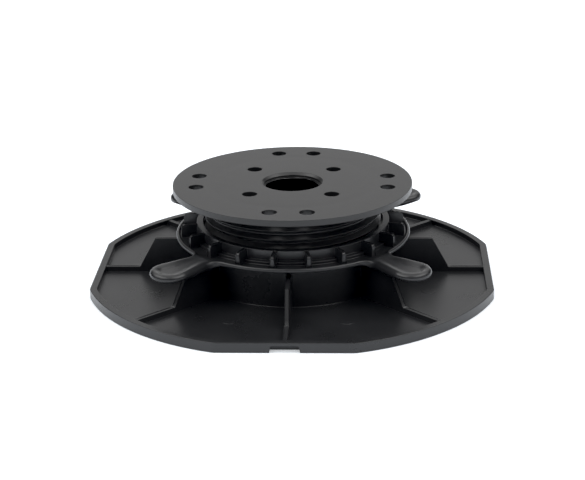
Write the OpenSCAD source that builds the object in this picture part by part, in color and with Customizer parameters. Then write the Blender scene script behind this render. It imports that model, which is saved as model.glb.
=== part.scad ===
// Height-adjustable raised floor pedestal.
// Three mouldings: a round base with four flats, eight gussets and a tube;
// an adjusting ring with four paddles; and a round head on a threaded stem.
// Millimetres, +Z up, origin at the centre of the base's underside.

/* [Base] */
// Diameter across the round parts of the base
base_d = 200; // [180:1:220]
// Width across the four flats of the base
base_flats = 190; // [180:1:195]
// Height of the raised rim
rim_h = 4.8; // [4:0.1:6]
// Width of the raised rim
rim_w = 3.3; // [2.5:0.1:5]
// Thickness of the floor inside the rim
floor_t = 2.3; // [1.8:0.1:3]
// Outer diameter of the central tube
tube_d = 95.2; // [94.8:0.2:96]
// Wall of the central tube
tube_wall = 2.6; // [2:0.1:2.8]
// Height of the tube and of the gussets' level tops
tube_h = 19.2; // [19:0.1:19.4]
// Thickness of a gusset
gusset_t = 2.3; // [1.6:0.1:3]
// Radius at which a gusset's level top ends
gusset_r1 = 66.9; // [64:0.1:70]
// Radius of the foot of a gusset's slope
gusset_r2 = 74.6; // [72:0.1:80]
// Width of the drain notch under the front flat
notch_w = 12.4; // [8:0.1:16]
// Height of the drain notch
notch_h = 3.3; // [2.5:0.1:3.8]

/* [Adjusting ring] */
// Outer diameter of the flange
flange_d = 112.4; // [110:0.2:114]
// Height of the flange's underside above the ground
flange_z = 22.1; // [21.8:0.1:22.4]
// Thickness of the flange's floor
flange_t = 1.3; // [1.2:0.1:1.5]
// Outer diameter of the ring's wall
hub_d = 92.6; // [92:0.1:93]
// Height of the top of the wall above the ground
hub_z = 29.4; // [29.2:0.1:29.5]
// Number of buttress ribs round the wall
rib_n = 20; // [16:4:24]
// Thickness of a buttress rib
rib_t = 2.0; // [1.4:0.1:2.6]
// Radius at which the ribs end
rib_r = 53.8; // [52:0.1:54]
// Number of paddles
paddle_n = 4; // [2:1:4]
// Radius to the centre of a paddle's round end
paddle_r = 77.0; // [70:0.1:78]
// Radius of a paddle's round end
paddle_end_r = 9.6; // [7:0.1:11]
// Half-width of a paddle where it leaves the flange
paddle_neck = 5.0; // [4:0.1:6]
// Thickness of a paddle
paddle_t = 3.5; // [2.6:0.1:3.6]
// Angle by which the ribs and paddles stand turned, as stored
ring_angle = 1.2; // [-3:0.1:3]

/* [Head] */
// Diameter of the head's disc
head_d = 114.2; // [110:0.2:116]
// Thickness of the disc
head_t = 3.2; // [2.6:0.1:3.6]
// Height of the head's top above the ground as stored
head_z = 47.9; // [46:0.1:48.5]
// Diameter of the centre hole
centre_hole_d = 27; // [20:0.5:30]
// Chamfer round the top of the centre hole
centre_chamfer = 1.0; // [0.4:0.1:1.4]
// Diameter of the fixing holes
hole_d = 7.1; // [5:0.1:8]
// Half the spacing of the inner square of holes
hole_a = 19.2; // [18:0.1:21]
// Distance of an outer pair of holes from the centre
hole_b = 45.4; // [45.4:0.1:50]
// Half the spacing of the holes in an outer pair
hole_c = 8.6; // [6:0.1:12]

/* [Thread] */
// Pitch of the one-start right-hand thread
pitch = 4.3; // [4.2:0.05:4.5]
// Diameter over the stem's thread crests
thread_d = 84.4; // [84:0.1:84.6]
// Depth of the thread
thread_depth = 2.0; // [1.6:0.1:2.0]
// Wall of the stem under the thread
stem_wall = 2.6; // [2:0.1:3]
// Length of the stem below the disc
stem_len = 27; // [26.9:0.1:27.2]

/* [Hidden] */
$fn = 96;
eps = 0.01;
base_r = base_d / 2;
flat_r = base_flats / 2;
tube_r = tube_d / 2;
head_r = head_d / 2;
head_under = head_z - head_t;
stem_bottom = head_under - stem_len;
root_r = thread_d / 2 - thread_depth;
crest_r = thread_d / 2;
ring_root_r = crest_r + 0.4;      // bore between the ring's thread ridges
ring_crest_r = root_r + 0.45;     // tips of the ring's thread ridges
sleeve_r = tube_r - tube_wall - 0.3;
sleeve_bottom = tube_h - 4;
lip_r = flange_d / 2;
thread_seg = 60;                  // steps in one turn of the thread
// Height of a stem crest at angle zero, in the stored pose
crest_z0 = 19.24;

// ---------------------------------------------------------------- thread
// A closed tube with a helical ridge on the wall of radius rw.  The ridge's
// tip is at radius rt and the tube's plain wall is at radius ro.  zc is the
// height of the ridge's middle where it starts, at angle zero.
module ridge_tube(rw, rt, ro, z0, z1, zc, turns, w_base, w_tip) {
    n = thread_seg;
    s_end = round(turns * n);
    function pt(r, s, z) = [r * cos(360 * s / n), r * sin(360 * s / n), z];
    zs = function(s) zc + pitch * s / n;
    ridge = [for (s = [0 : s_end])
        for (q = [[rw, -w_base / 2], [rt, -w_tip / 2], [rt, w_tip / 2], [rw, w_base / 2]])
            pt(q[0], s, zs(s) + q[1])];
    low = [for (s = [0 : n - 1]) pt(rw, s, z0)];
    // The upper edge starts at the angle where the ridge ends.
    high = [for (s = [0 : n - 1]) pt(rw, s_end + s, z1)];
    low_o = [for (s = [0 : n - 1]) pt(ro, s, z0)];
    high_o = [for (s = [0 : n - 1]) pt(ro, s_end + s, z1)];
    nr = len(ridge);
    L = nr; H = nr + n; LO = nr + 2 * n; HO = nr + 3 * n;
    off = s_end % n;
    function R(s, j) = 4 * s + j;
    function lo(s) = L + (s % n);
    function hi(s) = H + (s % n);
    function loo(s) = LO + (s % n);
    function hio(s) = HO + (s % n);
    faces = concat(
        // ridge flanks and tip
        [for (s = [0 : s_end - 1]) for (j = [0 : 2]) for (t = [0, 1])
            t == 0 ? [R(s, j), R(s, j + 1), R(s + 1, j + 1)]
                   : [R(s, j), R(s + 1, j + 1), R(s + 1, j)]],
        // wall between one turn and the next
        [for (s = [0 : s_end - n - 1]) for (t = [0, 1])
            t == 0 ? [R(s, 3), R(s + n, 0), R(s + n + 1, 0)]
                   : [R(s, 3), R(s + n + 1, 0), R(s + 1, 3)]],
        // wall below the first turn
        [for (s = [0 : n - 2]) for (t = [0, 1])
            t == 0 ? [lo(s), R(s, 0), R(s + 1, 0)] : [lo(s), R(s + 1, 0), lo(s + 1)]],
        [[lo(n - 1), R(n - 1, 0), R(n, 0)], [lo(n - 1), R(n, 0), R(0, 3)],
         [lo(n - 1), R(0, 3), R(0, 0)], [lo(n - 1), R(0, 0), lo(0)]],
        // end faces of the ridge
        [[R(0, 0), R(0, 3), R(0, 2)], [R(0, 0), R(0, 2), R(0, 1)],
         [R(s_end, 0), R(s_end, 1), R(s_end, 2)], [R(s_end, 0), R(s_end, 2), R(s_end, 3)]],
        // wall above the last turn
        [for (k = [1 : n - 1]) for (t = [0, 1])
            t == 0 ? [R(s_end - n + k, 3), hi(k), hi(k + 1)]
                   : [R(s_end - n + k, 3), hi(k + 1), R(s_end - n + k + 1, 3)]],
        [[R(s_end - n, 3), R(s_end, 0), R(s_end - n + 1, 3)],
         [R(s_end, 0), R(s_end, 3), R(s_end - n + 1, 3)],
         [R(s_end, 3), hi(0), R(s_end - n + 1, 3)],
         [hi(0), hi(1), R(s_end - n + 1, 3)]],
        // plain wall and the two ends
        [for (k = [0 : n - 1]) for (t = [0, 1])
            t == 0 ? [loo(k + off), loo(k + off + 1), hio(k + 1)]
                   : [loo(k + off), hio(k + 1), hio(k)]],
        [for (k = [0 : n - 1]) for (t = [0, 1])
            t == 0 ? [lo(k), lo(k + 1), loo(k + 1)] : [lo(k), loo(k + 1), loo(k)]],
        [for (k = [0 : n - 1]) for (t = [0, 1])
            t == 0 ? [hi(k), hio(k), hio(k + 1)] : [hi(k), hio(k + 1), hi(k + 1)]]
    );
    flip = ro > rw;
    polyhedron(points = concat(ridge, low, high, low_o, high_o),
        faces = flip ? [for (f = faces) [f[2], f[1], f[0]]] : faces, convexity = 10);
}

// ---------------------------------------------------------------- base
module base_outline(inset) {
    intersection() {
        circle(r = base_r - inset);
        square(2 * (flat_r - inset), center = true);
    }
}

// Level top at the tube, a steep slope, then a low strip out to the rim.
module gusset(r_end) {
    rotate([90, 0, 0]) translate([0, 0, -gusset_t / 2]) linear_extrude(gusset_t)
        polygon([[tube_r - tube_wall / 2, floor_t - 0.5], [r_end, floor_t - 0.5],
            [r_end, rim_h - 0.1], [gusset_r2, rim_h - 0.1], [gusset_r1, tube_h - 0.1],
            [tube_r - tube_wall / 2, tube_h - 0.1]]);
}

module base() {
    color("#2b2c2e") difference() {
        union() {
            difference() {
                linear_extrude(rim_h) base_outline(0);
                translate([0, 0, floor_t]) linear_extrude(rim_h) base_outline(rim_w);
            }
            difference() {
                translate([0, 0, floor_t - 0.5]) cylinder(r = tube_r, h = tube_h - floor_t + 0.5);
                translate([0, 0, floor_t]) cylinder(r = tube_r - tube_wall, h = tube_h);
            }
            for (i = [0 : 3]) {
                rotate(90 * i) gusset(flat_r - rim_w / 2);
                rotate(90 * i + 45) gusset(base_r - rim_w / 2);
            }
        }
        // drain notch through the front of the rim, wider at the ground
        translate([0, -flat_r + rim_w + 0.6, 0]) rotate([90, 0, 0])
            linear_extrude(rim_w + 1.6)
                polygon([[-notch_w / 2 - 0.8, -1], [notch_w / 2 + 0.8, -1],
                    [notch_w / 2, notch_h], [-notch_w / 2, notch_h]]);
    }
}

// ---------------------------------------------------------------- ring
module paddle_outline() {
    // straight sides touch the end circle and the neck circle
    d0 = lip_r - 6;
    a = asin((paddle_end_r - paddle_neck) / (paddle_r - d0));
    ux = -sin(a); uy = cos(a);
    e = paddle_end_r * 0.999; k = paddle_neck;
    union() {
        polygon([[d0 + ux * k, uy * k], [paddle_r + ux * e, uy * e],
            [paddle_r + ux * e, -uy * e], [d0 + ux * k, -uy * k]]);
        translate([paddle_r, 0]) circle(r = paddle_end_r);
    }
}

module ring_rib() {
    // upper outer corner is cut back in three short steps, as a rounding
    rotate([90, 0, 0]) translate([0, 0, -rib_t / 2]) linear_extrude(rib_t)
        polygon([[hub_d / 2 - 1, flange_z + 0.3], [rib_r, flange_z + 0.3],
            [rib_r, hub_z - 2.4], [rib_r - 0.32, hub_z - 1.2],
            [rib_r - 1.2, hub_z - 0.32], [rib_r - 2.4, hub_z], [hub_d / 2 - 1, hub_z]]);
}

module adjusting_ring() {
    lip_in = lip_r - 2;
    floor_z = flange_z + flange_t;
    paddle_z = flange_z - 1.9;
    color("#2b2c2e") union() {
        difference() {
            // hub, ledge, flange and its raised lip, turned as one section
            rotate_extrude() polygon([
                [ring_root_r + 0.7, tube_h], [hub_d / 2, tube_h], [hub_d / 2 + 2.6, flange_z],
                [lip_r - 0.8, flange_z], [lip_r, flange_z + 0.7], [lip_r, flange_z + 1.6],
                [lip_r - 0.5, flange_z + 2.2], [lip_r - 1.3, flange_z + 2.2],
                [lip_in - 0.2, floor_z], [hub_d / 2 + 2.8, floor_z],
                [hub_d / 2 + 2.8, floor_z + 1.4], [hub_d / 2, floor_z + 1.4],
                [hub_d / 2, hub_z], [ring_root_r + 0.6, hub_z],
                [ring_root_r + 0.6, hub_z - 1.5], [ring_root_r + 0.7, hub_z - 1.6]]);
        }
        // plain sleeve that centres the ring in the base's tube
        rotate_extrude() polygon([
            [ring_root_r + 0.7, sleeve_bottom], [sleeve_r, sleeve_bottom],
            [sleeve_r, tube_h + 1], [ring_root_r + 0.7, tube_h + 1]]);
        ridge_tube(ring_root_r, ring_crest_r, ring_root_r + 1.1, sleeve_bottom, hub_z - 1.6,
            crest_z0 + pitch / 2 - pitch, 2, 3.6, 0.3);
        for (i = [0 : rib_n - 1]) rotate(ring_angle + (i + 0.5) * 360 / rib_n) ring_rib();
        for (i = [0 : paddle_n - 1]) rotate(ring_angle + 45 + i * 360 / paddle_n) difference() {
            translate([0, 0, paddle_z]) linear_extrude(paddle_t) paddle_outline();
            // shallow thumb dish
            translate([paddle_r - 5, 0, paddle_z + paddle_t + 29.2]) sphere(r = 30);
        }
    }
}

// ---------------------------------------------------------------- head
module head() {
    ch = 0.4;
    color("#303133") union() {
        difference() {
            rotate_extrude() polygon([
                [0, head_under], [head_r - ch, head_under], [head_r, head_under + ch],
                [head_r, head_z - ch], [head_r - ch, head_z], [0, head_z]]);
            translate([0, 0, head_under - 1]) cylinder(r = centre_hole_d / 2, h = head_t + 2);
            translate([0, 0, head_z - centre_chamfer])
                cylinder(r1 = centre_hole_d / 2, r2 = centre_hole_d / 2 + centre_chamfer + eps,
                    h = centre_chamfer + eps);
            for (sx = [-1, 1]) for (sy = [-1, 1]) for (p = [[hole_a, hole_a], [hole_b, hole_c], [hole_c, hole_b]])
                translate([sx * p[0], sy * p[1], head_under - 1]) cylinder(d = hole_d, h = head_t + 2);
        }
        ridge_tube(root_r, crest_r, root_r - stem_wall, stem_bottom, head_under + 0.8,
            crest_z0, 5.6, 3.9, 0.4);
    }
}

base();
adjusting_ring();
head();
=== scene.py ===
"""Raised floor pedestal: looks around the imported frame.

Each of the three mouldings is rebuilt here with the roundings, fillets, dished paddles, rolled lip and
rounded thread that the construction model leaves out.  All lengths below are millimetres in the part's
frame and are turned into metres when a mesh is made.
"""

import math

import bpy
import bmesh
import numpy as np
from mathutils import Matrix, Vector
from mathutils.geometry import delaunay_2d_cdt


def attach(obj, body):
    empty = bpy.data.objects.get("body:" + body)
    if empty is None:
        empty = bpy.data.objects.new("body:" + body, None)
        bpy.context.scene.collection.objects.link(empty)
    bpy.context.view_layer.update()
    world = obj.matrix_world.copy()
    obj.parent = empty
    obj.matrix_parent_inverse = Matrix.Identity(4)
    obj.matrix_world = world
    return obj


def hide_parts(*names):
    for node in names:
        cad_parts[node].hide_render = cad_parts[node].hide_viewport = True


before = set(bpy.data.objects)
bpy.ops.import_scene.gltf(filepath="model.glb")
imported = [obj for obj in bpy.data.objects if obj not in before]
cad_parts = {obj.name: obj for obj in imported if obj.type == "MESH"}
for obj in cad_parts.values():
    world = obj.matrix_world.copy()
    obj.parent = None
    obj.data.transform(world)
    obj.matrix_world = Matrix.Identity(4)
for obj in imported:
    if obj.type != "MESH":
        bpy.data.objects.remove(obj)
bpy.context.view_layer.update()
scene = bpy.context.scene
MM = 0.001

# ------------------------------------------------------------------ sizes, as in the construction model
BASE_R, FLAT, RIM_H, RIM_W, FLOOR_T = 100.0, 95.0, 4.8, 3.3, 2.3
CORNER_R = 8.0
TUBE_R, TUBE_IN, TUBE_H = 47.6, 45.0, 19.2
GUS_T, GUS_R1, GUS_R2 = 2.3, 66.9, 74.6
LIP_R, FLANGE_Z, FLANGE_TOP = 56.2, 22.1, 23.35
HUB_R, HUB_IN, HUB_Z = 46.3, 43.2, 29.4
RIB_N, RIB_T, RIB_R = 20, 2.0, 53.8
PAD_R, PAD_END, PAD_SIDE = 77.0, 9.6, math.radians(10.8)
PAD_LOW, PAD_TOP = 20.15, 24.40
HEAD_R, HEAD_Z, HEAD_T = 57.1, 47.9, 3.2
PITCH, CREST0 = 4.3, 19.24
RING_TURN = 1.2  # degrees the ring stands turned from the base's diagonals
CREST_R, ROOT_R = 42.2, 40.2


# light levels
FLOOR_GLOW, ROOM = 0.34, 0.80


# ------------------------------------------------------------------ small mesh tools
def new_object(name, verts, faces):
    me = bpy.data.meshes.new(name)
    me.from_pydata([(float(x) * MM, float(y) * MM, float(z) * MM) for x, y, z in verts], [], [tuple(int(i) for i in f) for f in faces])
    me.validate()
    ob = bpy.data.objects.new(name, me)
    scene.collection.objects.link(ob)
    bm = bmesh.new()
    bm.from_mesh(me)
    bmesh.ops.remove_doubles(bm, verts=bm.verts, dist=1e-7)
    bmesh.ops.recalc_face_normals(bm, faces=bm.faces)
    bm.to_mesh(me)
    bm.free()
    return ob


def fill2d(loops, extra=()):
    """Triangles between closed loops of 2-D points.  The loops' points come first in the result, in their order."""
    pts, edges = [], []
    for lp in loops:
        k = len(pts)
        pts += [Vector((float(p[0]), float(p[1]))) for p in lp]
        edges += [(k + i, k + (i + 1) % len(lp)) for i in range(len(lp))]
    n_loop = len(pts)
    pts += [Vector((float(p[0]), float(p[1]))) for p in extra]
    v, _, f, ov, _, _ = delaunay_2d_cdt(pts, edges, [], 0, 1e-6)
    v = np.array([(p.x, p.y) for p in v])
    f = [tuple(t) for t in f]
    c = v[np.array(f)].mean(1)
    ok = in_loops(c, loops[0])
    for h in loops[1:]:
        ok &= ~in_loops(c, h)
    tris = [t for t, k in zip(f, ok) if k]
    # put the loops' own points back in order
    back = {}
    for i, src in enumerate(ov):
        for s in src:
            back[s] = i
    order = [back[i] for i in range(n_loop)]
    taken = set(order)
    rest = [i for i in range(len(v)) if i not in taken]
    new = {old: i for i, old in enumerate(order)}
    for j, old in enumerate(rest):
        new[old] = n_loop + j
    return v[order + rest], [tuple(new[i] for i in t) for t in tris]


def in_loops(P, loop):
    """Which of the points P lie inside the loop."""
    P = np.asarray(P, float).reshape(-1, 2)
    a = np.asarray(loop, float)
    b = np.roll(a, -1, 0)
    out = np.zeros(len(P), bool)
    for k in range(0, len(P), 2000):
        x, y = P[k : k + 2000, 0][:, None], P[k : k + 2000, 1][:, None]
        cond = (a[None, :, 1] > y) != (b[None, :, 1] > y)
        dy = np.where(cond, b[None, :, 1] - a[None, :, 1], 1.0)
        xi = a[None, :, 0] + (y - a[None, :, 1]) * (b[None, :, 0] - a[None, :, 0]) / dy
        out[k : k + 2000] = np.count_nonzero(cond & (x < xi), axis=1) % 2 == 1
    return out


def in_loop(p, loop):
    a = np.asarray(loop, float)
    b = np.roll(a, -1, 0)
    x, y = p
    cond = (a[:, 1] > y) != (b[:, 1] > y)
    dy = np.where(cond, b[:, 1] - a[:, 1], 1.0)
    xi = a[:, 0] + (y - a[:, 1]) * (b[:, 0] - a[:, 0]) / dy
    return bool(np.count_nonzero(cond & (x < xi)) % 2)


def strip(faces, a, b, n, closed=True, flip=False):
    """Quads between two rings of n points that start at indices a and b."""
    for i in range(n if closed else n - 1):
        j = (i + 1) % n
        q = (a + i, a + j, b + j, b + i)
        faces.append(q[::-1] if flip else q)


def lathe(name, profile, n=192, phase=0.0):
    """A closed ring turned from a closed (r, z) profile that doesn't reach the axis."""
    m = len(profile)
    V, F = [], []
    for i in range(n):
        a = 2 * math.pi * (i + phase) / n
        c, s = math.cos(a), math.sin(a)
        V += [(r * c, r * s, z) for r, z in profile]
    for i in range(n):
        j = (i + 1) % n
        for k in range(m):
            l = (k + 1) % m
            F.append((i * m + k, j * m + k, j * m + l, i * m + l))
    return new_object(name, V, F)


def turned(name, profile, n=96):
    """A solid turned from an (r, z) profile that runs from its lower face's edge to its upper face's edge."""
    m = len(profile)
    V, F = [], []
    for r, z in profile:
        V += [(r * math.cos(2 * math.pi * i / n), r * math.sin(2 * math.pi * i / n), z) for i in range(n)]
    for k in range(m - 1):
        strip(F, k * n, (k + 1) * n, n)
    F.append(tuple(range(n - 1, -1, -1)))
    F.append(tuple(range((m - 1) * n, m * n)))
    return new_object(name, V, F)


def disc_solid(name, r, z0, z1, n=96, cx=0.0, cy=0.0, r1=None):
    r1 = r if r1 is None else r1
    V = [(cx + r * math.cos(2 * math.pi * i / n), cy + r * math.sin(2 * math.pi * i / n), z0) for i in range(n)]
    V += [(cx + r1 * math.cos(2 * math.pi * i / n), cy + r1 * math.sin(2 * math.pi * i / n), z1) for i in range(n)]
    F = [tuple(range(n - 1, -1, -1)), tuple(range(n, 2 * n))]
    strip(F, 0, n, n)
    return new_object(name, V, F)


def boolean(target, other, op="UNION", keep=False):
    md = target.modifiers.new("b", "BOOLEAN")
    md.operation = op
    md.solver = "MANIFOLD"
    md.object = other
    dg = bpy.context.evaluated_depsgraph_get()
    me = bpy.data.meshes.new_from_object(target.evaluated_get(dg), preserve_all_data_layers=True, depsgraph=dg)
    target.modifiers.clear()
    old = target.data
    target.data = me
    bpy.data.meshes.remove(old)
    if not keep:
        bpy.data.objects.remove(other)
    return target


def join(objects):
    """One object from several, their shells left as they are."""
    bm = bmesh.new()
    for o in objects:
        bm.from_mesh(o.data)
    first = objects[0]
    bm.to_mesh(first.data)
    bm.free()
    for o in objects[1:]:
        bpy.data.objects.remove(o)
    return first


def arc(cx, cz, r, a0, a1, n):
    return [(cx + r * math.cos(math.radians(a0 + (a1 - a0) * i / n)), cz + r * math.sin(math.radians(a0 + (a1 - a0) * i / n))) for i in range(n + 1)]


def smooth(x, a, b):
    t = np.clip((np.asarray(x, float) - a) / (b - a), 0, 1)
    return t * t * (3 - 2 * t)


def noise1(i, seed=0):
    x = math.sin(i * 127.1 + seed * 311.7) * 43758.5453
    return x - math.floor(x)


def wob(t, seed, octaves=4, base=3):
    """Smooth periodic noise in -1..1 of t in 0..1, the same each run."""
    s, amp, tot = 0.0, 1.0, 0.0
    for o in range(octaves):
        k = base * 2**o
        u = t * k
        i = math.floor(u)
        f = u - i
        f = f * f * (3 - 2 * f)
        a, b = noise1(i % k, seed + o), noise1((i + 1) % k, seed + o)
        s += amp * ((a * (1 - f) + b * f) * 2 - 1)
        tot += amp
        amp *= 0.6
    return s / tot


# ------------------------------------------------------------------ blades: ribs and gussets
def offset_poly(P, e):
    P = np.asarray(P, float)
    a = np.roll(P, 1, 0)
    b = np.roll(P, -1, 0)
    d1 = P - a
    d2 = b - P
    n1 = np.stack([-d1[:, 1], d1[:, 0]], 1) / np.linalg.norm(d1, axis=1)[:, None]
    n2 = np.stack([-d2[:, 1], d2[:, 0]], 1) / np.linalg.norm(d2, axis=1)[:, None]
    return P + e * (n1 + n2) / (1 + (n1 * n2).sum(1))[:, None]


def refine(P, step):
    out = []
    n = len(P)
    for i in range(n):
        a, b = np.array(P[i], float), np.array(P[(i + 1) % n], float)
        k = max(1, int(math.ceil(np.linalg.norm(b - a) / step)))
        out += [tuple(a + (b - a) * j / k) for j in range(k)]
    return out


def blade(name, outline, half, angle, rnd=0.35, steps=4, extra=()):
    """A thin upright plate in the plane of the axis, at an angle round it.  outline is a counter-clockwise (r, z)
    loop, half(r, z) its half thickness, which may flare at its foot, and its edges are rounded."""
    n = len(outline)
    rings = []
    for s in (1, -1):
        seq = range(steps + 1) if s == 1 else range(steps, -1, -1)
        for k in seq:
            a = math.radians(90 * k / steps)  # 0: outermost, 90: full thickness
            P = offset_poly(outline, rnd * (1 - math.sin(a)) if False else rnd * (1 - math.cos(math.radians(90) - a)))
            drop = rnd * (1 - math.sin(a))
            rings.append([(p[0], p[1], s * (half(p[0], p[1]) - drop)) for p in P])
    # order: s=+1 from outermost to full is rings[0..steps]; s=-1 from full to outermost after
    V, F = [], []
    plus = rings[: steps + 1]
    minus = rings[steps + 1 :][::-1]
    order = plus[::-1] + minus  # full +, ... outermost +, outermost -, ... full -
    for ring in order:
        V += ring
    for k in range(len(order) - 1):
        strip(F, k * n, (k + 1) * n, n)
    for s, ring_i in ((1, 0), (-1, len(order) - 1)):
        loop = [(v[0], v[1]) for v in order[ring_i]]
        ex = np.array(extra, float).reshape(-1, 2)
        pts, tris = fill2d([loop], ex[in_loops(ex, offset_poly(loop, 0.05))])
        base_i = ring_i * n
        k0 = len(V)
        V += [(p[0], p[1], s * half(p[0], p[1])) for p in pts[n:]]
        idx = lambda i: base_i + i if i < n else k0 + i - n
        for t in tris:
            F.append(tuple(idx(i) for i in (t if s == 1 else t[::-1])))
    c, s_ = math.cos(math.radians(angle)), math.sin(math.radians(angle))
    V = [(r * c - t * s_, r * s_ + t * c, z) for r, z, t in V]
    return new_object(name, V, F)


def flare(d, R):
    """How far a fillet of radius R stands out at distance d from the face it joins."""
    d = max(d, 0.0)
    return 0.0 if d >= R else R - math.sqrt(max(R * R - (R - d) ** 2, 0.0))


# ------------------------------------------------------------------ base
def base_outline(inset, flats=FLAT, n_arc=40, n_fil=6, n_flat=14):
    """The base's plan: four arcs, four flats and a rounded corner between each."""
    R, Fl, c = BASE_R - inset, flats - inset, CORNER_R - inset
    cy = flats - CORNER_R
    cx = math.sqrt((BASE_R - CORNER_R) ** 2 - cy**2)
    a_c = math.atan2(cx, cy)  # angle from the flat's middle to the corner's centre
    pts = []
    for q in range(4):
        rot = math.radians(90 * q)
        loc = []
        for i in range(n_flat):  # along the flat at +x, from -cx to cx
            loc.append((Fl, -cx + 2 * cx * i / n_flat))
        for i in range(n_fil):  # corner arc, normal from 0 to a_c
            a = a_c * i / n_fil
            loc.append((cy + c * math.cos(a), cx + c * math.sin(a)))
        span = math.pi / 2 - 2 * a_c
        for i in range(n_arc):
            a = a_c + span * i / n_arc
            loc.append((R * math.cos(a), R * math.sin(a)))
        for i in range(n_fil):  # next corner
            a = math.pi / 2 - a_c + a_c * i / n_fil
            loc.append((cx + c * math.cos(a), cy + c * math.sin(a)))
        cs, sn = math.cos(rot), math.sin(rot)
        pts += [(x * cs - y * sn, x * sn + y * cs) for x, y in loc]
    return pts


def build_base():
    rt, rb, ri, rf = 0.28, 0.35, 0.2, 0.2
    prof = []  # (inset, z) from the bottom's middle outwards, over the rim and down to the floor
    prof += [(6.0, 0.0), (2.0, 0.0)]
    prof += [(rb - rb * math.sin(math.radians(a)), rb - rb * math.cos(math.radians(a))) for a in (0, 22.5, 45, 67.5, 90)]
    prof += [(0.0, RIM_H - rt)]
    prof += [(rt - rt * math.cos(math.radians(a)), RIM_H - rt + rt * math.sin(math.radians(a))) for a in (18, 36, 54, 72, 90)]
    prof += [(RIM_W - ri, RIM_H)]
    prof += [(RIM_W - ri + ri * math.sin(math.radians(a)), RIM_H - ri + ri * math.cos(math.radians(a))) for a in (22.5, 45, 67.5, 90)]
    prof += [(RIM_W + 0.05, FLOOR_T + rf)]
    prof += [(RIM_W + 0.05 + rf - rf * math.cos(math.radians(a)), FLOOR_T + rf - rf * math.sin(math.radians(a))) for a in (22.5, 45, 67.5, 90)]
    prof += [(RIM_W + 3.0, FLOOR_T)]
    V, F, n = [], [], None
    for inset, z in prof:
        P = base_outline(inset)
        n = len(P)
        V += [(x, y, z) for x, y in P]
    for k in range(len(prof) - 1):
        strip(F, k * n, (k + 1) * n, n)
    F.append(tuple(range(n - 1, -1, -1)))
    F.append(tuple(range((len(prof) - 1) * n, len(prof) * n)))
    base = new_object("base_moulding", V, F)

    # tube
    r = 0.3
    fo, fi = 0.25, 0.25
    prof = [(TUBE_IN - fi, 1.6), (TUBE_R + fo, 1.6), (TUBE_R + fo, FLOOR_T)]
    prof += [(TUBE_R + fo - fo * math.sin(math.radians(a)), FLOOR_T + fo - fo * math.cos(math.radians(a))) for a in (22.5, 45, 67.5, 90)]
    prof += [(TUBE_R - r + r * math.cos(math.radians(a)), TUBE_H - r + r * math.sin(math.radians(a))) for a in (0, 30, 60, 90)]
    prof += [(TUBE_IN + r - r * math.sin(math.radians(a)), TUBE_H - r + r * math.cos(math.radians(a))) for a in (0, 30, 60, 90)]
    prof += [(TUBE_IN - fi + fi * math.sin(math.radians(a)), FLOOR_T + fi - fi * math.cos(math.radians(a))) for a in (90, 67.5, 45, 22.5)]
    prof += [(TUBE_IN - fi, FLOOR_T)]
    tube = lathe("tube", prof, 240)
    boolean(base, tube)

    # eight gussets
    blades = []
    for k in range(8):
        diag = k % 2 == 1
        end = (BASE_R if diag else FLAT) - RIM_W
        outline = [(TUBE_IN + 1.2, 1.7), (end + 1.2, 1.7), (end + 1.2, RIM_H - 0.15), (GUS_R2 + 0.5, RIM_H - 0.15), (GUS_R2, RIM_H + 0.2), (GUS_R1, TUBE_H - 0.25), (GUS_R1 - 0.5, TUBE_H - 0.05), (TUBE_IN + 1.2, TUBE_H - 0.05)]
        outline = refine(outline, 2.0)

        def half(r, z, end=end):
            w = GUS_T / 2 - 0.012 * (z - FLOOR_T)
            w += max(flare(z - FLOOR_T, 0.22), flare(r - TUBE_R, 0.22) if z < TUBE_H - 0.6 else 0.0, flare(end - r, 0.2))
            return w

        extra = []
        for z in (FLOOR_T, FLOOR_T + 0.06, FLOOR_T + 0.13, FLOOR_T + 0.23):
            extra += [(r_, z) for r_ in np.arange(48.0, end + 1, 2.4)]
        for dr in (0.0, 0.06, 0.13, 0.23):
            extra += [(TUBE_R + dr, z) for z in np.arange(3.2, TUBE_H - 0.5, 1.7)]
            extra += [(end - dr, z) for z in (FLOOR_T + 0.9, FLOOR_T + 1.6)]
        blades.append(blade("g", outline, half, 45 * k, rnd=0.32, steps=3, extra=extra))
    boolean(base, join(blades))
    # witness marks of the eight ejector pins, slightly proud discs on the floor
    marks = []
    for k in range(8):
        a = math.radians(22.5 + 45 * k)
        mk = turned("mark", [(3.30, FLOOR_T - 0.4), (3.30, FLOOR_T + 0.02), (3.27, FLOOR_T + 0.07), (3.20, FLOOR_T + 0.11), (3.10, FLOOR_T + 0.13)], 56)
        mk.data.transform(Matrix.Translation((69.8 * MM * math.cos(a), 69.8 * MM * math.sin(a), 0)))
        marks.append(mk)
    boolean(base, join(marks))
    # drain notch in the front of the rim
    w0, w1, h = 7.0, 6.2, 3.3
    y0, y1 = -(FLAT + 2), -(FLAT - RIM_W - 0.6)
    P = [(-w0, -1.0), (w0, -1.0), (w1 + 0.06, h - 0.5), (w1 - 0.12, h - 0.12), (w1 - 0.5, h), (-w1 + 0.5, h), (-w1 + 0.12, h - 0.12), (-w1 - 0.06, h - 0.5)]
    V = [(x, y1, z) for x, z in P] + [(x, y0, z) for x, z in P]
    m = len(P)
    F = [tuple(range(m - 1, -1, -1)), tuple(range(m, 2 * m))]
    strip(F, 0, m, m)
    boolean(base, new_object("notch", V, F), "DIFFERENCE")
    return base


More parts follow.
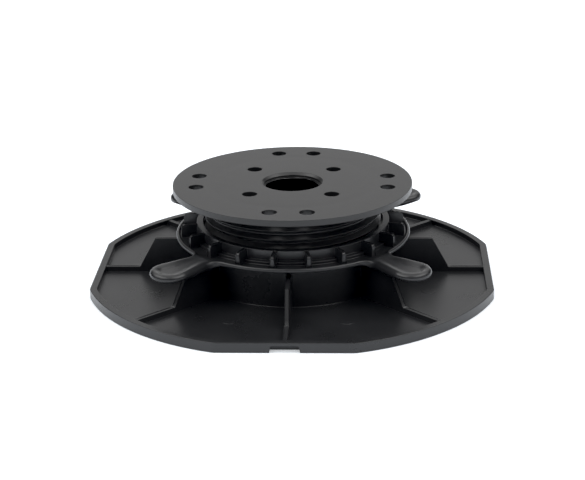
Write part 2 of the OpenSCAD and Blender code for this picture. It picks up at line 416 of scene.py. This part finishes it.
# ------------------------------------------------------------------ adjusting ring
def lip_points(d, n_tip=44, n_side=10, n_fil=16, n_arc=44, fil=5.0):
    """The flange and paddles in plan, moved in by d.  Returns the points in order round the outline."""
    al = PAD_SIDE
    nrm = np.array([-math.sin(al), math.cos(al)])
    C = np.array([PAD_R, 0.0])
    T = C + PAD_END * nrm
    # fillet centre: distance LIP_R + fil from the axis, distance fil outside the paddle's side
    lo, hi = 40.0, PAD_R
    for _ in range(60):
        x = (lo + hi) / 2
        y = T[1] + (fil + math.sin(al) * (x - T[0])) / math.cos(al)
        if math.hypot(x, y) > LIP_R + fil:
            hi = x
        else:
            lo = x
    Cf = np.array([x, y])
    Q = Cf - fil * nrm  # where the side meets the fillet
    a_f = math.atan2(Cf[1], Cf[0])
    pts = []
    for q in range(4):
        rot = math.radians(45 + RING_TURN + 90 * q)
        cs, sn = math.cos(rot), math.sin(rot)
        loc = []
        # tip, from the lower side round to the upper side
        a0 = -(math.pi / 2 + al)
        a1 = math.pi / 2 + al
        for i in range(n_tip):
            a = a0 + (a1 - a0) * i / n_tip
            loc.append((C[0] + (PAD_END - d) * math.cos(a), (PAD_END - d) * math.sin(a)))
        Td, Qd = T - d * nrm, Q - d * nrm
        for i in range(n_side):
            p = Td + (Qd - Td) * i / n_side
            loc.append((p[0], p[1]))
        # fillet, its normals turn from the side's to the axis's direction
        b0 = math.atan2(-nrm[1], -nrm[0])
        b1 = a_f + math.pi
        while b1 < b0 - math.pi:
            b1 += 2 * math.pi
        while b1 > b0 + math.pi:
            b1 -= 2 * math.pi
        for i in range(n_fil):
            b = b0 + (b1 - b0) * i / n_fil
            loc.append((Cf[0] + (fil + d) * math.cos(b), Cf[1] + (fil + d) * math.sin(b)))
        # the flange's round edge
        for i in range(n_arc):
            a = a_f + (math.pi / 2 - 2 * a_f) * i / n_arc
            loc.append(((LIP_R - d) * math.cos(a), (LIP_R - d) * math.sin(a)))
        # the next paddle's fillet and lower side, mirrored into its own frame
        seg = []
        for i in range(n_fil):
            b = b0 + (b1 - b0) * i / n_fil
            seg.append((Cf[0] + (fil + d) * math.cos(b), -(Cf[1] + (fil + d) * math.sin(b))))
        seg = [(Cf[0] + (fil + d) * math.cos(b1), -(Cf[1] + (fil + d) * math.sin(b1)))] + seg[:0:-1]
        side = []
        for i in range(n_side):
            p = Qd + (Td - Qd) * i / n_side
            side.append((p[0], -p[1]))
        for p in seg + side:
            loc.append((-p[1], p[0]))  # turned by 90 degrees to the next paddle
        pts += [(x * cs - y * sn, x * sn + y * cs) for x, y in loc]
    return pts


def paddle_coords(x, y):
    """Distance along and across the nearest paddle's middle line."""
    a = math.atan2(y, x)
    k = round((math.degrees(a) - 45 - RING_TURN) / 90)
    b = math.radians(45 + RING_TURN + 90 * k)
    return x * math.cos(b) + y * math.sin(b), -x * math.sin(b) + y * math.cos(b)


def paddle_inset(u, v):
    """How far inside the paddle's outline a point lies."""
    nrm = (-math.sin(PAD_SIDE), math.cos(PAD_SIDE))
    T = (PAD_R + PAD_END * nrm[0], PAD_END * nrm[1])
    side = -(nrm[0] * (u - T[0]) + nrm[1] * (abs(v) - T[1]))
    tip = PAD_END - math.hypot(u - PAD_R, v)
    return tip if u > T[0] and (abs(v) * math.sin(PAD_SIDE) + (u - PAD_R) * math.cos(PAD_SIDE) > -PAD_END * 0) else side


def sm(x, a, b):
    t = min(max((x - a) / (b - a), 0.0), 1.0)
    return t * t * (3 - 2 * t)


def paddle_weight(x, y):
    """0 on the flange, 1 on a paddle."""
    u, v = paddle_coords(x, y)
    return sm(u, 52.0, 58.5) * (1 - sm(abs(v) - (4.6 + 0.19 * (u - 54)), 0.0, 5.0))


def ring_top(x, y, d):
    """Height of the flange's and paddles' upper surface, d inside the outline."""
    u, v = paddle_coords(x, y)
    z_f = FLANGE_TOP + (24.3 - FLANGE_TOP) * (1 - sm(d, 1.05, 2.2))
    # a paddle falls away from the ring into a long thumb dish with a raised edge
    edge = PAD_TOP - 0.25 * sm(u, 60.0, 84.0)
    run = 1.05 * sm(u, 57.0, 70.0) - 0.10 * sm(u, 72.0, 82.0)
    z_p = edge - run * sm(d, 2.05, 5.6)
    w = paddle_weight(x, y)
    return z_f * (1 - w) + z_p * w


def ring_bottom(x, y):
    u, v = paddle_coords(x, y)
    w = sm(u, 54.0, 60.0) * (1 - sm(abs(v), 8.0, 13.0))
    return FLANGE_Z * (1 - w) + PAD_LOW * w


def build_flange():
    P0 = np.array(lip_points(0.0))
    N = np.array(lip_points(1.0)) - P0
    n = len(P0)
    wt = np.array([sm(paddle_coords(x, y)[0], 56.0, 62.0) * (1 - sm(abs(paddle_coords(x, y)[1]), 9.0, 14.0)) for x, y in P0])
    rt, rb = 0.95 + 1.10 * wt, 0.75 + 0.95 * wt
    low0 = np.array([ring_bottom(x, y) for x, y in P0])
    rings = []
    for d in (4.4, 2.6):
        Q = P0 + N * d
        rings.append([(x, y, ring_bottom(x, y)) for x, y in Q])
    edge_n = 9
    for k in range(edge_n):  # lower rounding
        a = math.radians(90 * k / (edge_n - 1))
        Q = P0 + N * (rb * (1 - math.sin(a)))[:, None]
        rings.append([(q[0], q[1], z + r * (1 - math.cos(a))) for q, z, r in zip(Q, low0, rb)])
    Qi = P0 + N * rt[:, None]
    top = np.array([ring_top(q[0], q[1], r) for q, r in zip(Qi, rt)])
    for k in range(edge_n):  # upper rounding
        a = math.radians(90 * k / (edge_n - 1))
        Q = P0 + N * (rt * (1 - math.cos(a)))[:, None]
        rings.append([(q[0], q[1], z - r * (1 - math.sin(a))) for q, z, r in zip(Q, top, rt)])
    for t in (0.04, 0.09, 0.15, 0.22, 0.30, 0.38, 0.47, 0.57, 0.68, 0.82, 1.0):
        d = rt + (4.8 - rt) * t
        Q = P0 + N * d[:, None]
        rings.append([(q[0], q[1], ring_top(q[0], q[1], e)) for q, e in zip(Q, d)])
    V, F = [], []
    for rg in rings:
        V += rg
    for k in range(len(rings) - 1):
        strip(F, k * n, (k + 1) * n, n)
    # inner parts: from the last ring in to the hub
    m = 160
    for which in ("top", "bottom"):
        ring_i = len(rings) - 1 if which == "top" else 0
        d_last = 4.8 if which == "top" else 4.4
        loop = [(p[0], p[1]) for p in rings[ring_i]]
        hole = [(45.0 * math.cos(2 * math.pi * i / m), 45.0 * math.sin(2 * math.pi * i / m)) for i in range(m)]
        ex = []
        for q in range(4):
            b = math.radians(45 + RING_TURN + 90 * q)
            for u in np.arange(50.0, 84.0, 0.9):
                for v in np.arange(-6.3, 6.31, 0.9):
                    if u >= 56 and paddle_inset(u, v) <= d_last + 0.35:
                        continue
                    if u < 56 and math.hypot(u, v) > LIP_R - d_last - 0.4 and abs(v) > 3.5:
                        continue
                    ex.append((u * math.cos(b) - v * math.sin(b), u * math.sin(b) + v * math.cos(b)))
        ex = np.array(ex)
        pts, tris = fill2d([loop, hole], ex[in_loops(ex, loop)])
        k0 = len(V)
        for p in pts[n:]:
            if which == "top":
                u, v = paddle_coords(p[0], p[1])
                d = paddle_inset(u, v) if u > 54 and abs(v) < 9 else max(LIP_R - math.hypot(p[0], p[1]), d_last)
                V.append((p[0], p[1], ring_top(p[0], p[1], max(d, d_last))))
            else:
                V.append((p[0], p[1], ring_bottom(p[0], p[1])))
        for t in tris:
            f = tuple(ring_i * n + i if i < n else k0 + i - n for i in t)
            F.append(f if which == "top" else f[::-1])
        if which == "top":
            top_hole = k0  # the hole's points come right after the loop's
        else:
            strip(F, k0, top_hole, m)
    return new_object("ring_moulding", V, F)


def helix_rod(name, shape, turns, start_turn, n=120, z_phi0=CREST0):
    """A solid rod with a helical surface.  shape is a list of (r, dz) over one pitch, dz from the crest's middle."""
    K = len(shape)
    S = int(turns * n)
    V, F = [], []
    for s in range(S + 1):
        a = 2 * math.pi * s / n
        zc = z_phi0 + PITCH * (s / n + start_turn)
        for r, dz in shape:
            V.append((r * math.cos(a), r * math.sin(a), zc + dz))

    def P(s, t):
        if t == K:
            return P(s + n, 0)
        return s * K + t

    for s in range(S - n):
        for t in range(K):
            F.append((P(s, t), P(s + 1, t), P(s + 1, t + 1), P(s, t + 1)))
    # caps: fans from a point on the axis
    z0 = min(v[2] for v in V[: n * K]) - 4
    z1 = max(v[2] for v in V[-n * K :]) + 4
    lo = len(V)
    V.append((0, 0, z0))
    hi = len(V)
    V.append((0, 0, z1))
    low = [P(s, 0) for s in range(n + 1)] + [P(0, t) for t in range(K - 1, 0, -1)]
    for i in range(len(low)):
        F.append((lo, low[(i + 1) % len(low)], low[i]))
    E = S - n
    top = [P(E + s, 0) for s in range(n + 1)] + [P(E, t) for t in range(K - 1, 0, -1)]
    for i in range(len(top)):
        F.append((hi, top[i], top[(i + 1) % len(top)]))
    return new_object(name, V, F)


def thread_shape(play=0.0):
    """One pitch of the thread as (radius, height): a V with narrow flats.  With play it is the space in the ring."""
    c, r, w = CREST_R + 0.4 * (play > 0), ROOT_R + play, 0.10 + play
    if play:
        return [(r, -2.10), (c - 0.22, -w + 0.05), (c - 0.04, -w + 0.22), (c, -0.08), (c, 0.08), (c - 0.04, w - 0.22), (c - 0.22, w - 0.05), (r, 2.10)]
    return [(r, -2.02), (r + 0.08, -1.95), (c - 0.30, -0.40), (c - 0.10, -0.22), (c - 0.02, -0.13), (c, -0.05),
            (c, 0.05), (c - 0.02, 0.13), (c - 0.10, 0.22), (c - 0.30, 0.40), (r + 0.08, 1.95), (r, 2.02)]


def build_ring():
    ring = build_flange()
    # hub with its ledge, seat and centring sleeve; its bore is solid until the thread is cut
    r = 0.3
    prof = [(39.5, 15.2), (44.7 - r, 15.2), (44.7, 15.2 + r), (44.7, 19.2), (HUB_R - r, 19.2), (HUB_R, 19.2 + r), (HUB_R + 0.2, 19.9), (HUB_R + 2.6, 22.0), (HUB_R + 3.4, 22.3)]
    prof += [(HUB_R + 3.4, FLANGE_TOP - 0.05), (49.1 + 0.1, FLANGE_TOP - 0.02), (49.1, FLANGE_TOP + 0.1)]
    prof += arc(49.1 - r, 24.8 - r, r, 0, 90, 4)
    prof += [(HUB_R + 0.1, 24.8), (HUB_R, 24.9)]
    prof += arc(HUB_R - 0.05 - r, HUB_Z - r, r, 0, 90, 4)
    prof += arc(HUB_IN + 0.25, HUB_Z - 0.25, 0.25, 90, 180, 3)
    prof += [(HUB_IN, HUB_Z - 1.7), (HUB_IN - 0.7, HUB_Z - 2.4), (39.5, HUB_Z - 2.4)]
    hub = lathe("hub", prof, 240)
    cut = helix_rod("cut", thread_shape(0.45), 7.0, -2.5, n=120)
    boolean(hub, cut, "DIFFERENCE")
    boolean(ring, hub)
    ribs = []
    rr = 1.9
    for k in range(RIB_N):
        ang = 9 + 18 * k + RING_TURN
        outline = [(44.8, 22.6), (RIB_R, 22.6)] + arc(RIB_R - rr, HUB_Z - rr, rr, 0, 90, 8) + [(44.8, HUB_Z)]
        outline = refine(outline, 1.6)

        def half(r_, z):
            w = 0.80 + 0.09 * (HUB_Z - z)
            return w + max(flare(r_ - HUB_R, 0.2) if z < HUB_Z - 0.4 else 0.0, flare(z - FLANGE_TOP, 0.2))

        extra = []
        for dz in (0.0, 0.06, 0.12, 0.21):
            extra += [(x, FLANGE_TOP + dz) for x in np.arange(49.6, 53.6, 0.9)]
        for dr in (0.0, 0.06, 0.12, 0.21):
            extra += [(HUB_R + dr, z) for z in np.arange(25.4, HUB_Z - 0.6, 0.9)]
        ribs.append(blade("rib", outline, half, ang, rnd=0.32, steps=4, extra=extra))
    boolean(ring, join(ribs))
    return ring


# ------------------------------------------------------------------ head
def hole_list():
    a, b, c = 19.2, 45.4, 8.6
    out = []
    for sx in (-1, 1):
        for sy in (-1, 1):
            out += [(sx * a, sy * a), (sx * b, sy * c), (sx * c, sy * b)]
    return out


def head_top(x, y):
    """The disc's top sinks very slightly over the stem's wall."""
    r = math.hypot(x, y)
    a = math.atan2(y, x)
    s = 0.030 * math.exp(-(((r - 39.0) / 2.6) ** 2))
    s += 0.012 * math.exp(-(((r - 17.0) / 2.0) ** 2))
    s += 0.006 * (1 + math.sin(3 * a + 0.6)) * sm(r, 20, 50)
    return HEAD_Z - s


def build_head():
    n = 240
    rt, rb, rh = 0.16, 0.45, 0.15
    z1, z0 = HEAD_Z, HEAD_Z - HEAD_T
    V, F = [], []
    rows = []
    # outer edge, from below to the top
    prof = [(HEAD_R - 3.0, z0), (HEAD_R - rb, z0)] + arc(HEAD_R - rb, z0 + rb, rb, -90, 0, 4)[1:] + arc(HEAD_R - rt, z1 - rt, rt, 0, 90, 5) + [(HEAD_R - 1.2, z1)]
    for r, z in prof:
        rows.append(len(V))
        for i in range(n):
            a = 2 * math.pi * i / n
            x, y = r * math.cos(a), r * math.sin(a)
            V.append((x, y, z if z < z1 - 1e-6 else head_top(x, y)))
    for k in range(len(rows) - 1):
        strip(F, rows[k], rows[k + 1], n)
    outer_low, outer_top = rows[0], rows[-1]
    # holes: rings from the top surface, round its edge, down the wall, round the lower edge
    loops_top = [[(V[outer_top + i][0], V[outer_top + i][1]) for i in range(n)]]
    loops_low = [[(V[outer_low + i][0], V[outer_low + i][1]) for i in range(n)]]
    ring_top_idx, ring_low_idx = [list(range(outer_top, outer_top + n))], [list(range(outer_low, outer_low + n))]
    specs = [(0.0, 0.0, 13.5, 120, True)] + [(x, y, 3.55, 40, False) for x, y in hole_list()]
    for cx, cy, hr, m, centre in specs:
        if centre:
            prof = [(hr + 1.40, z1), (hr + 1.24, z1 - 0.03), (hr + 1.12, z1 - 0.12), (hr + 0.12, z1 - 1.02), (hr + 0.03, z1 - 1.14), (hr, z1 - 1.3), (hr, z0 + 0.2), (hr + 0.2, z0)]
        else:
            prof = [(hr + rh * 1.0, z1)] + [(hr + rh - rh * math.sin(math.radians(t)), z1 - rh + rh * math.cos(math.radians(t))) for t in (30, 60, 90)] + [(hr, z0 + 0.2), (hr + 0.2, z0)]
        rws = []
        for r, z in prof:
            rws.append(len(V))
            for i in range(m):
                a = 2 * math.pi * i / m
                x, y = cx + r * math.cos(a), cy + r * math.sin(a)
                V.append((x, y, head_top(x, y) - (z1 - z) if z > z1 - 1.5 else z))
        for k in range(len(rws) - 1):
            strip(F, rws[k], rws[k + 1], m)
        loops_top.append([(V[rws[0] + i][0], V[rws[0] + i][1]) for i in range(m)])
        loops_low.append([(V[rws[-1] + i][0], V[rws[-1] + i][1]) for i in range(m)])
        ring_top_idx.append(list(range(rws[0], rws[0] + m)))
        ring_low_idx.append(list(range(rws[-1], rws[-1] + m)))
    # points over the top so that its faint sinks are in the mesh
    holes = [(0.0, 0.0, 15.6)] + [(x, y, 4.5) for x, y in hole_list()]
    extra = []
    for r in np.arange(16.5, HEAD_R - 2.2, 1.3):
        m = max(48, int(2 * math.pi * r / 3.0))
        for i in range(m):
            a = 2 * math.pi * (i + 0.5 * (int(r * 10) % 2)) / m
            x, y = r * math.cos(a), r * math.sin(a)
            if all(math.hypot(x - hx, y - hy) > hr for hx, hy, hr in holes):
                extra.append((x, y))
    for loops, idxs, ex, zf, up in ((loops_top, ring_top_idx, extra, head_top, True), (loops_low, ring_low_idx, [], lambda x, y: z0, False)):
        flat = [i for r_ in idxs for i in r_]
        pts, tris = fill2d(loops, ex)
        nl = len(flat)
        k0 = len(V)
        V += [(p[0], p[1], zf(p[0], p[1])) for p in pts[nl:]]
        for t in tris:
            f = tuple(flat[i] if i < nl else k0 + i - nl for i in t)
            F.append(f if up else f[::-1])
    disc = new_object("head_moulding", V, F)

    # threaded stem
    stem = helix_rod("stem", thread_shape(), 10.0, -1.5, n=144)
    stem_z0 = z0 - 27.0
    env = disc_solid("env", 60, stem_z0, z0 + 0.6, 64)
    boolean(stem, env, "INTERSECT")
    bore = disc_solid("bore", ROOT_R - 2.6, stem_z0 - 5, z0, 144)
    # the bore stops at the disc's underside; the stem's top is cleared inside so that it doesn't fill the disc's holes
    boolean(stem, bore, "DIFFERENCE")
    core = disc_solid("core", ROOT_R - 3.2, z0 - 0.01, z0 + 2, 144)
    boolean(stem, core, "DIFFERENCE")
    boolean(disc, stem)
    # torn flash round the lower edge of the centre hole
    m = 180
    V, F = [], []
    sect = []
    for i in range(m):
        t = i / m
        a = 2 * math.pi * t
        side = 0.35 + 0.65 * abs(math.cos(a)) ** 1.5
        tear = max(0.0, 0.55 + 0.75 * wob(t, 3, 4, 9)) * side
        r_in = 13.5 - 0.15 - 1.5 * tear
        z_m = z0 + 0.55 + 0.55 * wob(t, 11, 3, 7) * side + 0.5 * tear
        th = 0.14 + 0.10 * (0.5 + 0.5 * wob(t, 23, 3, 14))
        curl = 0.45 * wob(t, 31, 3, 11)
        ring_pts = [(13.8, z0 + 0.15), (13.2, z0 + 0.3), ((r_in + 13.3) / 2, z_m - th + curl * 0.5), (r_in, z_m - th * 0.5 + curl), (r_in, z_m + th * 0.5 + curl), ((r_in + 13.3) / 2, z_m + th + curl * 0.5), (13.2, z_m + 0.5), (13.8, z_m + 0.7)]
        sect.append(ring_pts)
        V += [(r_ * math.cos(a), r_ * math.sin(a), z_) for r_, z_ in ring_pts]
    k = len(sect[0])
    for i in range(m):
        j = (i + 1) % m
        for q in range(k):
            l = (q + 1) % k
            F.append((i * k + q, j * k + q, j * k + l, i * k + l))
    boolean(disc, new_object("flash", V, F))
    return disc


# ------------------------------------------------------------------ materials
def plastic(name, color, rough, spec, bump_scale, bump_str, mottle=0.03, seed=0.0):
    m = bpy.data.materials.new(name)
    m.use_nodes = True
    nt = m.node_tree
    N, L = nt.nodes, nt.links
    bsdf = N["Principled BSDF"]
    bsdf.inputs["IOR"].default_value = 1.49
    bsdf.inputs["Specular IOR Level"].default_value = spec
    tc = N.new("ShaderNodeTexCoord")
    mp = N.new("ShaderNodeMapping")
    mp.inputs["Location"].default_value = (seed, seed * 0.7, seed * 1.3)
    L.new(tc.outputs["Object"], mp.inputs["Vector"])
    # broad flow marks and cloudiness
    n1 = N.new("ShaderNodeTexNoise")
    n1.inputs["Scale"].default_value = 38.0
    n1.inputs["Detail"].default_value = 5.0
    n1.inputs["Roughness"].default_value = 0.6
    L.new(mp.outputs["Vector"], n1.inputs["Vector"])
    # fine moulded grain
    n2 = N.new("ShaderNodeTexNoise")
    n2.inputs["Scale"].default_value = bump_scale
    n2.inputs["Detail"].default_value = 3.0
    n2.inputs["Roughness"].default_value = 0.65
    L.new(mp.outputs["Vector"], n2.inputs["Vector"])
    cr = N.new("ShaderNodeValToRGB")
    cr.color_ramp.elements[0].position = 0.3
    cr.color_ramp.elements[1].position = 0.72
    lo = tuple(c * (1 - mottle * 6) for c in color) + (1.0,)
    hi = tuple(c * (1 + mottle * 6) for c in color) + (1.0,)
    cr.color_ramp.elements[0].color = lo
    cr.color_ramp.elements[1].color = hi
    L.new(n1.outputs["Fac"], cr.inputs["Fac"])
    L.new(cr.outputs["Color"], bsdf.inputs["Base Color"])
    mr = N.new("ShaderNodeMapRange")
    mr.inputs["From Min"].default_value = 0.3
    mr.inputs["From Max"].default_value = 0.7
    mr.inputs["To Min"].default_value = rough - mottle
    mr.inputs["To Max"].default_value = rough + mottle
    L.new(n1.outputs["Fac"], mr.inputs["Value"])
    L.new(mr.outputs["Result"], bsdf.inputs["Roughness"])
    bp = N.new("ShaderNodeBump")
    bp.inputs["Strength"].default_value = bump_str
    bp.inputs["Distance"].default_value = 0.00004
    L.new(n2.outputs["Fac"], bp.inputs["Height"])
    L.new(bp.outputs["Normal"], bsdf.inputs["Normal"])
    return m


def finish_mesh(ob, mat, angle=32):
    ob.data.materials.clear()
    ob.data.materials.append(mat)
    bm = bmesh.new()
    bm.from_mesh(ob.data)
    bmesh.ops.remove_doubles(bm, verts=bm.verts, dist=2e-6)
    bmesh.ops.dissolve_degenerate(bm, dist=1e-6, edges=bm.edges)
    for f in bm.faces:
        f.smooth = True
        f.material_index = 0
    cos_a = math.radians(angle)
    for e in bm.edges:
        e.smooth = not (len(e.link_faces) == 2 and e.calc_face_angle(0.0) > cos_a)
    bm.to_mesh(ob.data)
    bm.free()
    md = ob.modifiers.new("weighted", "WEIGHTED_NORMAL")
    md.keep_sharp = True
    md.weight = 80
    md.mode = "FACE_AREA_WITH_ANGLE"


black = plastic("satin_black_plastic", (0.0165, 0.0168, 0.0178), 0.29, 0.5, 2600.0, 0.22)
black_head = plastic("satin_black_plastic_head", (0.0172, 0.0172, 0.0174), 0.34, 0.5, 2600.0, 0.3, 0.03, 3.1)

base = build_base()
ring = build_ring()
head = build_head()
for ob, mat, body, node, slot in ((base, black, "base_body", "base", "base_plastic"), (ring, black, "ring_body", "adjusting_ring", "ring_plastic"), (head, black_head, "head_body", "head", "head_plastic")):
    finish_mesh(ob, mat)
    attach(ob, body)
    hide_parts(node)
    print(ob.name, len(ob.data.vertices), "verts", sum(len(p.vertices) - 2 for p in ob.data.polygons), "tris")

# ------------------------------------------------------------------ floor: a white table lit from below
me = bpy.data.meshes.new("floor")
S = 4.0
me.from_pydata([(-S, -S, -0.00008), (S, -S, -0.00008), (S, S, -0.00008), (-S, S, -0.00008)], [], [(0, 1, 2, 3)])
floor = bpy.data.objects.new("floor", me)
scene.collection.objects.link(floor)
fm = bpy.data.materials.new("floor_white")
fm.use_nodes = True
fb = fm.node_tree.nodes["Principled BSDF"]
fb.inputs["Base Color"].default_value = (0.82, 0.85, 0.90, 1)
fb.inputs["Roughness"].default_value = 0.9
fb.inputs["Specular IOR Level"].default_value = 0.0
fb.inputs["Emission Color"].default_value = (0.96, 0.99, 1.0, 1)
fb.inputs["Emission Strength"].default_value = FLOOR_GLOW
me.materials.append(fm)

# ------------------------------------------------------------------ light
world = bpy.data.worlds.new("studio")
scene.world = world
world.use_nodes = True
wn, wl = world.node_tree.nodes, world.node_tree.links
wn.clear()


def wnode(kind, op=None, *ins):
    nd = wn.new(kind)
    if op:
        nd.operation = op
    for i, v in enumerate(ins):
        if hasattr(v, "links"):
            wl.new(v, nd.inputs[i])
        elif v is not None:
            nd.inputs[i].default_value = v
    return nd


def ramp(v, a, b, lo, hi):
    nd = wn.new("ShaderNodeMapRange")
    nd.interpolation_type = "SMOOTHSTEP"
    wl.new(v, nd.inputs["Value"])
    nd.inputs["From Min"].default_value, nd.inputs["From Max"].default_value = a, b
    nd.inputs["To Min"].default_value, nd.inputs["To Max"].default_value = lo, hi
    return nd.outputs["Result"]


out = wn.new("ShaderNodeOutputWorld")
tc = wn.new("ShaderNodeTexCoord")
sx = wn.new("ShaderNodeSeparateXYZ")
wl.new(tc.outputs["Generated"], sx.inputs["Vector"])
# large soft panels high on both sides, a pale wall behind, less light straight in front
R = math.radians
across = wnode("ShaderNodeMath", "ABSOLUTE", sx.outputs["X"]).outputs[0]
ahead = wnode("ShaderNodeMath", "MULTIPLY", sx.outputs["Y"], -1.0).outputs[0]
turn = wnode("ShaderNodeMath", "ARCTAN2", across, ahead).outputs[0]  # 0 in front, pi behind
rise = wnode("ShaderNodeMath", "ARCSINE", sx.outputs["Z"]).outputs[0]


def times(*vs):
    r = vs[0]
    for v in vs[1:]:
        r = wnode("ShaderNodeMath", "MULTIPLY", r, v).outputs[0]
    return r


def plus(u, v):
    return wnode("ShaderNodeMath", "ADD", u, v).outputs[0]


panel = times(ramp(turn, R(8), R(36), 0.24, 1.0), ramp(turn, R(98), R(132), 1.0, 0.38), ramp(rise, R(22), R(46), 0.0, 4.3 * ROOM), ramp(rise, R(55), R(66), 1.0, 0.34))
side = times(ramp(turn, R(18), R(40), 0.0, 1.0), ramp(turn, R(98), R(125), 1.0, 0.0), ramp(rise, R(11), R(18), 0.0, 0.36 * ROOM), ramp(rise, R(24), R(34), 1.0, 0.0))
wall = times(ramp(turn, R(148), R(166), 0.0, 1.0), ramp(rise, R(9), R(18), 1.25 * ROOM, 0.53 * ROOM), ramp(rise, R(36), R(46), 1.0, 0.0))
over = ramp(rise, R(68), R(80), 0.0, 1.2 * ROOM)
dim = wn.new("ShaderNodeBackground")
dim.inputs["Color"].default_value = (1, 1, 1, 1)
wl.new(plus(plus(panel, side), plus(wall, over)), dim.inputs["Strength"])
pale = wn.new("ShaderNodeBackground")
pale.inputs["Color"].default_value = (1, 1, 1, 1)
lp = wn.new("ShaderNodeLightPath")
mx = wn.new("ShaderNodeMixShader")
wl.new(lp.outputs["Is Camera Ray"], mx.inputs[0])
wl.new(dim.outputs[0], mx.inputs[1])
wl.new(pale.outputs[0], mx.inputs[2])
wl.new(mx.outputs[0], out.inputs["Surface"])


# ------------------------------------------------------------------ camera
el, roll, dist = math.radians(19.862), math.radians(0.935), 0.845586
fwd = Vector((0, math.cos(el), -math.sin(el)))
right = Vector((1, 0, 0))
up = Vector((0, math.sin(el), math.cos(el)))
cam_loc = Vector((-0.000391, 0, 0.018133)) - fwd * dist
cx_ = right * math.cos(roll) - up * math.sin(roll)
cy_ = right * math.sin(roll) + up * math.cos(roll)
M = Matrix((cx_, cy_, -fwd)).transposed().to_4x4()
M.translation = cam_loc
cd = bpy.data.cameras.new("camera")
cd.type = "PERSP"
cd.sensor_fit = "HORIZONTAL"
cd.sensor_width = 36.0
cd.lens = 1749.776 * 36.0 / 585.0
cd.clip_start = 0.01
cd.clip_end = 50
cam = bpy.data.objects.new("camera", cd)
scene.collection.objects.link(cam)
cam.matrix_world = Matrix.Rotation(math.radians(2.80), 4, "Z") @ M
scene.camera = cam

scene.view_settings.view_transform = "Standard"
scene.view_settings.look = "None"
scene.view_settings.exposure = 0.0
scene.view_settings.gamma = 1.0
# the deepest shadows go to black, as in a contrasty studio picture
scene.view_settings.use_curve_mapping = True
scene.view_settings.curve_mapping.black_level = (0.0035, 0.0033, 0.0028)
scene.view_settings.curve_mapping.update()
